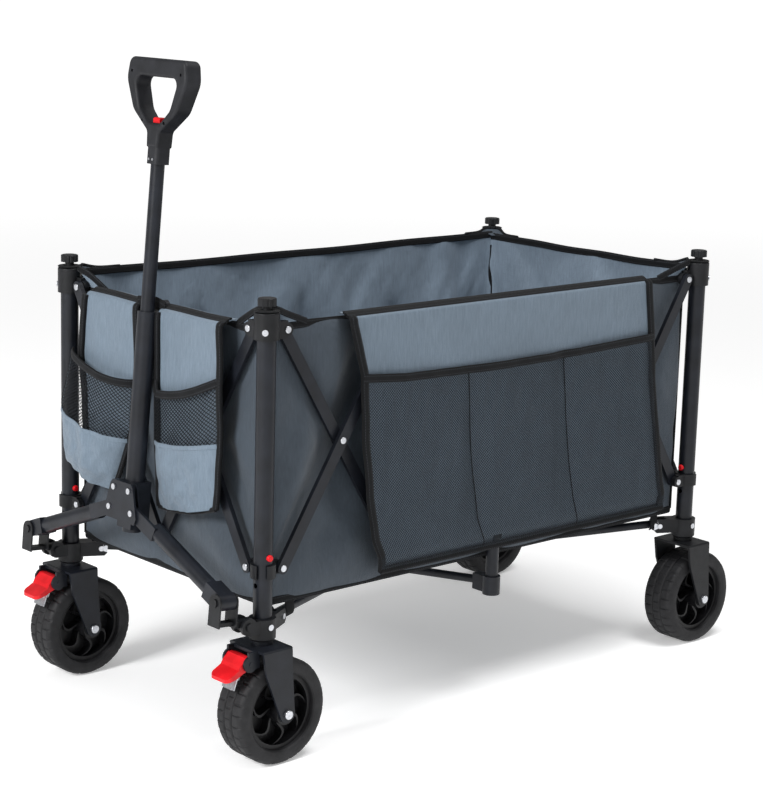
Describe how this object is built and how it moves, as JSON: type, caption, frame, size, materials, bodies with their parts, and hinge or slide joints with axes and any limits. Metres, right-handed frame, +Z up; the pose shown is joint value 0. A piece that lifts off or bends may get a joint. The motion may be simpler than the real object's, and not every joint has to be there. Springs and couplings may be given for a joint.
{
  "type": "folding pull wagon",
  "caption": "Folding wagon: fabric tub on a scissor steel frame with swivel front and fixed rear wheels, and a telescopic pull handle.",
  "frame": {"origin": "on the floor, under the centre of the overall length and width", "axes": "+X from the pull handle's end to the rear, +Z up, +Y across the wagon to the right-hand side seen from the rear"},
  "size_m": [1.1142, 0.585, 1.0045],
  "materials": {
    "frame_steel": "satin powder coat",
    "black_plastic": "fine moulded grain",
    "red_plastic": "satin",
    "tyre": "matte tread",
    "tub_fabric": "woven polyester",
    "mat_fabric": "woven polyester over board"
  },
  "bodies": {
    "front_left_corner": {"corner_post_front_left": "frame_steel", "corner_fittings_front_left": "black_plastic", "liner": "tub_fabric", "floor_mat": "mat_fabric"},
    "front_right_corner": {"corner_post_front_right": "frame_steel", "corner_fittings_front_right": "black_plastic"},
    "rear_left_corner": {"corner_post_rear_left": "frame_steel", "corner_fittings_rear_left": "black_plastic"},
    "rear_right_corner": {"corner_post_rear_right": "frame_steel", "corner_fittings_rear_right": "black_plastic"},
    "left_bar_down_1": {"left_bar_down_1": "frame_steel"},
    "left_bar_up_1": {"left_bar_up_1": "frame_steel"},
    "left_bar_down_2": {"left_bar_down_2": "frame_steel"},
    "left_bar_up_2": {"left_bar_up_2": "frame_steel"},
    "left_bar_down_3": {"left_bar_down_3": "frame_steel"},
    "left_bar_up_3": {"left_bar_up_3": "frame_steel"},
    "left_bar_down_4": {"left_bar_down_4": "frame_steel"},
    "left_bar_up_4": {"left_bar_up_4": "frame_steel"},
    "front_bar_down_1": {"front_bar_down_1": "frame_steel"},
    "front_bar_up_1": {"front_bar_up_1": "frame_steel"},
    "front_bar_down_2": {"front_bar_down_2": "frame_steel"},
    "front_bar_up_2": {"front_bar_up_2": "frame_steel"},
    "right_bar_down_1": {"right_bar_down_1": "frame_steel"},
    "right_bar_up_1": {"right_bar_up_1": "frame_steel"},
    "right_bar_down_2": {"right_bar_down_2": "frame_steel"},
    "right_bar_up_2": {"right_bar_up_2": "frame_steel"},
    "right_bar_down_3": {"right_bar_down_3": "frame_steel"},
    "right_bar_up_3": {"right_bar_up_3": "frame_steel"},
    "right_bar_down_4": {"right_bar_down_4": "frame_steel"},
    "right_bar_up_4": {"right_bar_up_4": "frame_steel"},
    "rear_bar_down_1": {"rear_bar_down_1": "frame_steel"},
    "rear_bar_up_1": {"rear_bar_up_1": "frame_steel"},
    "rear_bar_down_2": {"rear_bar_down_2": "frame_steel"},
    "rear_bar_up_2": {"rear_bar_up_2": "frame_steel"},
    "slide_collar_front_left": {"slide_collar_front_left": "black_plastic"},
    "slide_collar_rear_left": {"slide_collar_rear_left": "black_plastic"},
    "slide_collar_front_right": {"slide_collar_front_right": "black_plastic"},
    "slide_collar_rear_right": {"slide_collar_rear_right": "black_plastic"},
    "middle_leg_left": {"middle_leg_left": "black_plastic"},
    "middle_leg_right": {"middle_leg_right": "black_plastic"},
    "lock_button_front_left": {"lock_button_front_left": "red_plastic"},
    "lock_button_front_right": {"lock_button_front_right": "red_plastic"},
    "lock_button_rear_left": {"lock_button_rear_left": "red_plastic"},
    "lock_button_rear_right": {"lock_button_rear_right": "red_plastic"},
    "wheel_front_left": {"wheel_front_left": "tyre"},
    "caster_fork_front_left": {"caster_fork_front_left": "frame_steel"},
    "brake_pedal_front_left": {"brake_pedal_front_left": "red_plastic"},
    "wheel_front_right": {"wheel_front_right": "tyre"},
    "caster_fork_front_right": {"caster_fork_front_right": "frame_steel"},
    "brake_pedal_front_right": {"brake_pedal_front_right": "red_plastic"},
    "wheel_rear_left": {"wheel_rear_left": "tyre"},
    "wheel_rear_right": {"wheel_rear_right": "tyre"},
    "handle_clevis_left": {"handle_clevis_left": "frame_steel"},
    "handle_arm_left": {"handle_arm_left": "frame_steel"},
    "handle_clevis_right": {"handle_clevis_right": "frame_steel"},
    "handle_arm_right": {"handle_arm_right": "frame_steel"},
    "handle_yoke": {"handle_yoke": "frame_steel"},
    "handle_top": {"handle_upper_tube": "frame_steel", "handle_grip": "black_plastic"},
    "handle_release_button": {"handle_release_button": "red_plastic"}
  },
  "joints": [
    {"name": "fold", "type": "hinge", "parent": "front_left_corner", "child": "left_bar_down_1", "pos_m": [-0.43992, -0.248, 0.64], "axis": [0, 1, 0], "range_deg": [0, 23.8], "deforming": ["liner", "floor_mat"]},
    {"name": "left_up_1_turn", "type": "hinge", "parent": "left_bar_down_1", "child": "left_bar_up_1", "pos_m": [-0.33142, -0.248, 0.465], "axis": [0, 1, 0], "range_deg": [-48, 0]},
    {"name": "left_down_2_turn", "type": "hinge", "parent": "left_bar_up_1", "child": "left_bar_down_2", "pos_m": [-0.22292, -0.248, 0.64], "axis": [0, 1, 0], "range_deg": [0, 48]},
    {"name": "left_up_2_turn", "type": "hinge", "parent": "left_bar_down_2", "child": "left_bar_up_2", "pos_m": [-0.11442, -0.248, 0.465], "axis": [0, 1, 0], "range_deg": [-48, 0]},
    {"name": "left_down_3_turn", "type": "hinge", "parent": "left_bar_up_2", "child": "left_bar_down_3", "pos_m": [-0.00592, -0.248, 0.64], "axis": [0, 1, 0], "range_deg": [0, 48]},
    {"name": "left_up_3_turn", "type": "hinge", "parent": "left_bar_down_3", "child": "left_bar_up_3", "pos_m": [0.10258, -0.248, 0.465], "axis": [0, 1, 0], "range_deg": [-48, 0]},
    {"name": "left_down_4_turn", "type": "hinge", "parent": "left_bar_up_3", "child": "left_bar_down_4", "pos_m": [0.21108, -0.248, 0.64], "axis": [0, 1, 0], "range_deg": [0, 48]},
    {"name": "left_up_4_turn", "type": "hinge", "parent": "left_bar_down_4", "child": "left_bar_up_4", "pos_m": [0.31958, -0.248, 0.465], "axis": [0, 1, 0], "range_deg": [-48, 0]},
    {"name": "rear_left_corner_turn", "type": "hinge", "parent": "left_bar_up_4", "child": "rear_left_corner", "pos_m": [0.42808, -0.248, 0.64], "axis": [0, 1, 0], "range_deg": [0, 24.2]},
    {"name": "front_down_1_turn", "type": "hinge", "parent": "front_left_corner", "child": "front_bar_down_1", "pos_m": [-0.47092, -0.217, 0.64], "axis": [-1, 0, 0], "range_deg": [0, 24.2]},
    {"name": "front_up_1_turn", "type": "hinge", "parent": "front_bar_down_1", "child": "front_bar_up_1", "pos_m": [-0.47092, -0.1085, 0.465], "axis": [-1, 0, 0], "range_deg": [-48, 0]},
    {"name": "front_down_2_turn", "type": "hinge", "parent": "front_bar_up_1", "child": "front_bar_down_2", "pos_m": [-0.47092, 0, 0.64], "axis": [-1, 0, 0], "range_deg": [0, 48]},
    {"name": "front_up_2_turn", "type": "hinge", "parent": "front_bar_down_2", "child": "front_bar_up_2", "pos_m": [-0.47092, 0.1085, 0.465], "axis": [-1, 0, 0], "range_deg": [-48, 0]},
    {"name": "front_right_corner_turn", "type": "hinge", "parent": "front_bar_up_2", "child": "front_right_corner", "pos_m": [-0.47092, 0.217, 0.64], "axis": [-1, 0, 0], "range_deg": [0, 24.2]},
    {"name": "right_down_1_turn", "type": "hinge", "parent": "front_right_corner", "child": "right_bar_down_1", "pos_m": [-0.43992, 0.248, 0.64], "axis": [0, 1, 0], "range_deg": [0, 24.2]},
    {"name": "right_up_1_turn", "type": "hinge", "parent": "right_bar_down_1", "child": "right_bar_up_1", "pos_m": [-0.33142, 0.248, 0.465], "axis": [0, 1, 0], "range_deg": [-48, 0]},
    {"name": "right_down_2_turn", "type": "hinge", "parent": "right_bar_up_1", "child": "right_bar_down_2", "pos_m": [-0.22292, 0.248, 0.64], "axis": [0, 1, 0], "range_deg": [0, 48]},
    {"name": "right_up_2_turn", "type": "hinge", "parent": "right_bar_down_2", "child": "right_bar_up_2", "pos_m": [-0.11442, 0.248, 0.465], "axis": [0, 1, 0], "range_deg": [-48, 0]},
    {"name": "right_down_3_turn", "type": "hinge", "parent": "right_bar_up_2", "child": "right_bar_down_3", "pos_m": [-0.00592, 0.248, 0.64], "axis": [0, 1, 0], "range_deg": [0, 48]},
    {"name": "right_up_3_turn", "type": "hinge", "parent": "right_bar_down_3", "child": "right_bar_up_3", "pos_m": [0.10258, 0.248, 0.465], "axis": [0, 1, 0], "range_deg": [-48, 0]},
    {"name": "right_down_4_turn", "type": "hinge", "parent": "right_bar_up_3", "child": "right_bar_down_4", "pos_m": [0.21108, 0.248, 0.64], "axis": [0, 1, 0], "range_deg": [0, 48]},
    {"name": "right_up_4_turn", "type": "hinge", "parent": "right_bar_down_4", "child": "right_bar_up_4", "pos_m": [0.31958, 0.248, 0.465], "axis": [0, 1, 0], "range_deg": [-48, 0]},
    {"name": "rear_right_corner_turn", "type": "hinge", "parent": "right_bar_up_4", "child": "rear_right_corner", "pos_m": [0.42808, 0.248, 0.64], "axis": [0, 1, 0], "range_deg": [0, 24.2]},
    {"name": "rear_down_1_turn", "type": "hinge", "parent": "rear_left_corner", "child": "rear_bar_down_1", "pos_m": [0.45908, -0.217, 0.64], "axis": [-1, 0, 0], "range_deg": [0, 24.2]},
    {"name": "rear_up_1_turn", "type": "hinge", "parent": "rear_bar_down_1", "child": "rear_bar_up_1", "pos_m": [0.45908, -0.1085, 0.465], "axis": [-1, 0, 0], "range_deg": [-48, 0]},
    {"name": "rear_down_2_turn", "type": "hinge", "parent": "rear_bar_up_1", "child": "rear_bar_down_2", "pos_m": [0.45908, 0, 0.64], "axis": [-1, 0, 0], "range_deg": [0, 48]},
    {"name": "rear_up_2_turn", "type": "hinge", "parent": "rear_bar_down_2", "child": "rear_bar_up_2", "pos_m": [0.45908, 0.1085, 0.465], "axis": [-1, 0, 0], "range_deg": [-48, 0]},
    {"name": "slide_collar_front_left_turn", "type": "hinge", "parent": "left_bar_up_1", "child": "slide_collar_front_left", "pos_m": [-0.43992, -0.248, 0.29], "axis": [0, 1, 0], "range_deg": [0, 24.2]},
    {"name": "slide_collar_rear_left_turn", "type": "hinge", "parent": "left_bar_down_4", "child": "slide_collar_rear_left", "pos_m": [0.42808, -0.248, 0.29], "axis": [0, 1, 0], "range_deg": [-24.2, 0]},
    {"name": "slide_collar_front_right_turn", "type": "hinge", "parent": "front_bar_down_2", "child": "slide_collar_front_right", "pos_m": [-0.47092, 0.217, 0.29], "axis": [-1, 0, 0], "range_deg": [-24.2, 0]},
    {"name": "slide_collar_rear_right_turn", "type": "hinge", "parent": "right_bar_down_4", "child": "slide_collar_rear_right", "pos_m": [0.42808, 0.248, 0.29], "axis": [0, 1, 0], "range_deg": [-24.2, 0]},
    {"name": "middle_leg_left_turn", "type": "hinge", "parent": "left_bar_down_2", "child": "middle_leg_left", "pos_m": [-0.00592, -0.248, 0.29], "axis": [0, 1, 0], "range_deg": [-24.2, 0]},
    {"name": "middle_leg_right_turn", "type": "hinge", "parent": "right_bar_down_2", "child": "middle_leg_right", "pos_m": [-0.00592, 0.248, 0.29], "axis": [0, 1, 0], "range_deg": [-24.2, 0]},
    {"name": "lock_button_front_left_press", "type": "slide", "parent": "front_left_corner", "child": "lock_button_front_left", "axis": [0, 1, 0], "range_m": [0, 0.0035], "stiffness_N_per_m": 1500, "springref_m": -0.001},
    {"name": "lock_button_front_right_press", "type": "slide", "parent": "front_right_corner", "child": "lock_button_front_right", "axis": [0, 1, 0], "range_m": [0, 0.0035], "stiffness_N_per_m": 1500, "springref_m": -0.001},
    {"name": "lock_button_rear_left_press", "type": "slide", "parent": "rear_left_corner", "child": "lock_button_rear_left", "axis": [1, 0, 0], "range_m": [0, 0.0035], "stiffness_N_per_m": 1500, "springref_m": -0.001},
    {"name": "lock_button_rear_right_press", "type": "slide", "parent": "rear_right_corner", "child": "lock_button_rear_right", "axis": [1, 0, 0], "range_m": [0, 0.0035], "stiffness_N_per_m": 1500, "springref_m": -0.001},
    {"name": "caster_swivel_front_left", "type": "hinge", "parent": "front_left_corner", "child": "caster_fork_front_left", "pos_m": [-0.47092, -0.248, 0.182], "axis": [0, 0, 1], "continuous": true},
    {"name": "brake_pedal_front_left_press", "type": "hinge", "parent": "caster_fork_front_left", "child": "brake_pedal_front_left", "pos_m": [-0.51092, -0.248, 0.164], "axis": [0, -1, 0], "range_deg": [0, 15], "stiffness_Nm_per_rad": 2, "springref_deg": -5.73},
    {"name": "wheel_spin_front_left", "type": "hinge", "parent": "caster_fork_front_left", "child": "wheel_front_left", "pos_m": [-0.45292, -0.248, 0.08], "axis": [0, 1, 0], "continuous": true},
    {"name": "caster_swivel_front_right", "type": "hinge", "parent": "front_right_corner", "child": "caster_fork_front_right", "pos_m": [-0.47092, 0.248, 0.182], "axis": [0, 0, 1], "continuous": true},
    {"name": "brake_pedal_front_right_press", "type": "hinge", "parent": "caster_fork_front_right", "child": "brake_pedal_front_right", "pos_m": [-0.51092, 0.248, 0.164], "axis": [0, -1, 0], "range_deg": [0, 15], "stiffness_Nm_per_rad": 2, "springref_deg": -5.73},
    {"name": "wheel_spin_front_right", "type": "hinge", "parent": "caster_fork_front_right", "child": "wheel_front_right", "pos_m": [-0.45292, 0.248, 0.08], "axis": [0, 1, 0], "continuous": true},
    {"name": "wheel_spin_rear_left", "type": "hinge", "parent": "rear_left_corner", "child": "wheel_rear_left", "pos_m": [0.47708, -0.248, 0.08], "axis": [0, 1, 0], "continuous": true},
    {"name": "wheel_spin_rear_right", "type": "hinge", "parent": "rear_right_corner", "child": "wheel_rear_right", "pos_m": [0.47708, 0.248, 0.08], "axis": [0, 1, 0], "continuous": true},
    {"name": "handle_tilt", "type": "hinge", "parent": "front_left_corner", "child": "handle_clevis_left", "pos_m": [-0.50492, -0.248, 0.215], "axis": [0, -1, 0], "range_deg": [0, 70]},
    {"name": "handle_arm_left_turn", "type": "hinge", "parent": "handle_clevis_left", "child": "handle_arm_left", "pos_m": [-0.53777, -0.244, 0.25483], "axis": [0.9966, 0, -0.0819], "range_deg": [0, 55.3]},
    {"name": "handle_tilt_right", "type": "hinge", "parent": "front_right_corner", "child": "handle_clevis_right", "pos_m": [-0.50492, 0.248, 0.215], "axis": [0, -1, 0], "range_deg": [0, 70.5]},
    {"name": "handle_arm_right_turn", "type": "hinge", "parent": "handle_clevis_right", "child": "handle_arm_right", "pos_m": [-0.53777, 0.244, 0.25483], "axis": [0.9966, 0, -0.0819], "range_deg": [-55.3, 0]},
    {"name": "handle_yoke_turn", "type": "hinge", "parent": "handle_arm_left", "child": "handle_yoke", "pos_m": [-0.53097, -0.028, 0.33755], "axis": [0.9966, 0, -0.0819], "range_deg": [-55.3, 0]},
    {"name": "handle_telescope", "type": "slide", "parent": "handle_yoke", "child": "handle_top", "axis": [-0.0819, 0, -0.9966], "range_m": [0, 0.215]},
    {"name": "handle_release_press", "type": "slide", "parent": "handle_top", "child": "handle_release_button", "axis": [-0.0819, 0, -0.9966], "range_m": [0, 0.004], "stiffness_N_per_m": 900, "springref_m": -0.001}
  ],
  "couplings": [
    {"joint": "left_up_1_turn", "follows": "fold", "ratio": -2},
    {"joint": "left_down_2_turn", "follows": "fold", "ratio": 2},
    {"joint": "left_up_2_turn", "follows": "fold", "ratio": -2},
    {"joint": "left_down_3_turn", "follows": "fold", "ratio": 2},
    {"joint": "left_up_3_turn", "follows": "fold", "ratio": -2},
    {"joint": "left_down_4_turn", "follows": "fold", "ratio": 2},
    {"joint": "left_up_4_turn", "follows": "fold", "ratio": -2},
    {"joint": "rear_left_corner_turn", "follows": "fold", "ratio": 1},
    {"joint": "front_down_1_turn", "follows": "fold", "ratio": 1},
    {"joint": "front_up_1_turn", "follows": "fold", "ratio": -2},
    {"joint": "front_down_2_turn", "follows": "fold", "ratio": 2},
    {"joint": "front_up_2_turn", "follows": "fold", "ratio": -2},
    {"joint": "front_right_corner_turn", "follows": "fold", "ratio": 1},
    {"joint": "right_down_1_turn", "follows": "fold", "ratio": 1},
    {"joint": "right_up_1_turn", "follows": "fold", "ratio": -2},
    {"joint": "right_down_2_turn", "follows": "fold", "ratio": 2},
    {"joint": "right_up_2_turn", "follows": "fold", "ratio": -2},
    {"joint": "right_down_3_turn", "follows": "fold", "ratio": 2},
    {"joint": "right_up_3_turn", "follows": "fold", "ratio": -2},
    {"joint": "right_down_4_turn", "follows": "fold", "ratio": 2},
    {"joint": "right_up_4_turn", "follows": "fold", "ratio": -2},
    {"joint": "rear_right_corner_turn", "follows": "fold", "ratio": 1},
    {"joint": "rear_down_1_turn", "follows": "fold", "ratio": 1},
    {"joint": "rear_up_1_turn", "follows": "fold", "ratio": -2},
    {"joint": "rear_down_2_turn", "follows": "fold", "ratio": 2},
    {"joint": "rear_up_2_turn", "follows": "fold", "ratio": -2},
    {"joint": "slide_collar_front_left_turn", "follows": "fold", "ratio": 1},
    {"joint": "slide_collar_rear_left_turn", "follows": "fold", "ratio": -1},
    {"joint": "slide_collar_front_right_turn", "follows": "fold", "ratio": -1},
    {"joint": "slide_collar_rear_right_turn", "follows": "fold", "ratio": -1},
    {"joint": "middle_leg_left_turn", "follows": "fold", "ratio": -1},
    {"joint": "middle_leg_right_turn", "follows": "fold", "ratio": -1},
    {"joint": "handle_arm_left_turn", "follows": "fold", "ratio": 2.3066},
    {"joint": "handle_tilt_right", "follows": "handle_tilt", "ratio": 1},
    {"joint": "handle_arm_right_turn", "follows": "fold", "ratio": -2.3066},
    {"joint": "handle_yoke_turn", "follows": "fold", "ratio": -2.3066}
  ]
}
